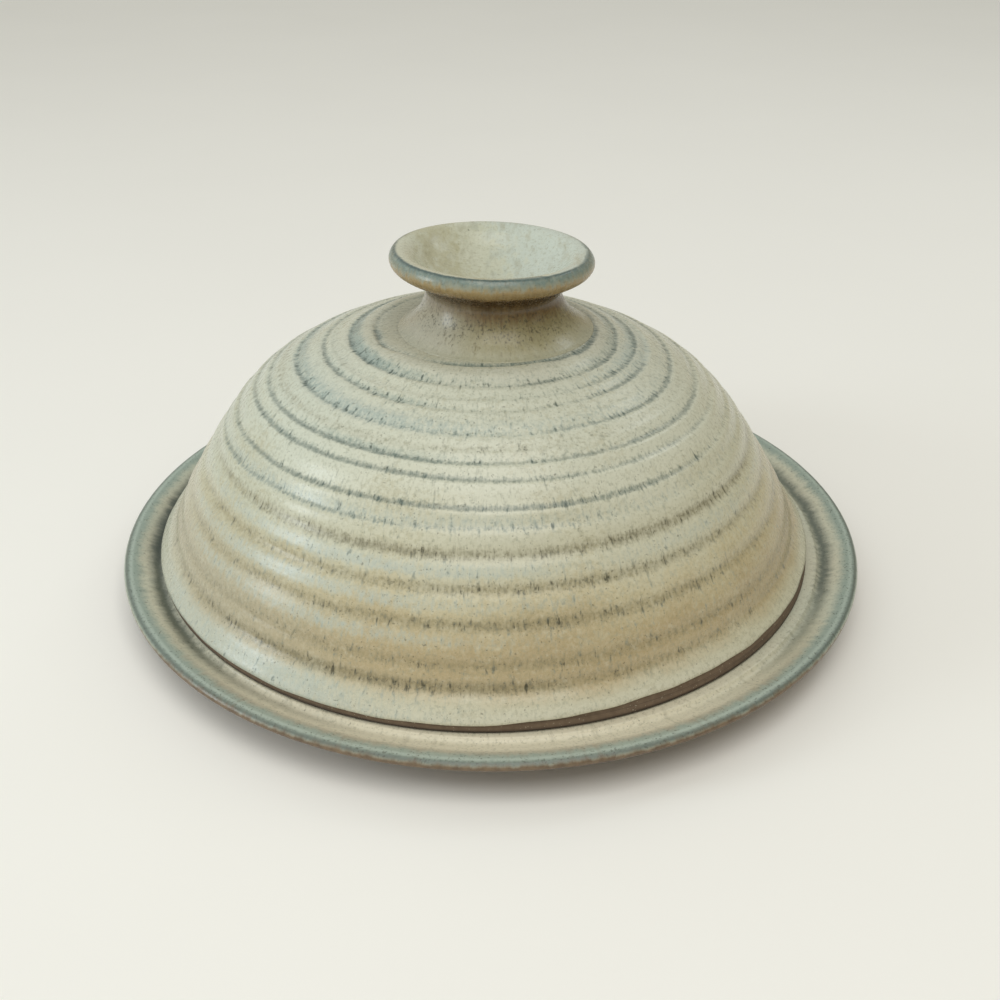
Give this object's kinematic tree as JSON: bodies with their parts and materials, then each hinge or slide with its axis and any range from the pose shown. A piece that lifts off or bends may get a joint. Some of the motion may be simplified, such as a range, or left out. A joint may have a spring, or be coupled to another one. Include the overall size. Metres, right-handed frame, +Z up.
{
  "type": "butter crock",
  "caption": "Round stoneware butter dish: a footed plate with a raised flange and a low domed lid lifted by a flared knob.",
  "frame": {"origin": "centre of the plate, on the plane its foot ring stands on", "axes": "+Z up, along the plate's turning axis and the way the lid lifts; the object is as good as round, so -Y is simply taken as the front and +X as its right"},
  "size_m": [0.2, 0.2, 0.0919],
  "materials": {
    "plate": "semi-gloss mottled glaze",
    "dome": "semi-gloss mottled glaze",
    "knob": "semi-gloss mottled glaze"
  },
  "bodies": {
    "plate": {"plate": "plate"},
    "lid": {"dome": "dome", "knob": "knob"}
  },
  "joints": [
    {"name": "lid_lift", "type": "slide", "parent": "plate", "child": "lid", "axis": [0, 0, 1], "range_m": [0, 0.15]}
  ]
}
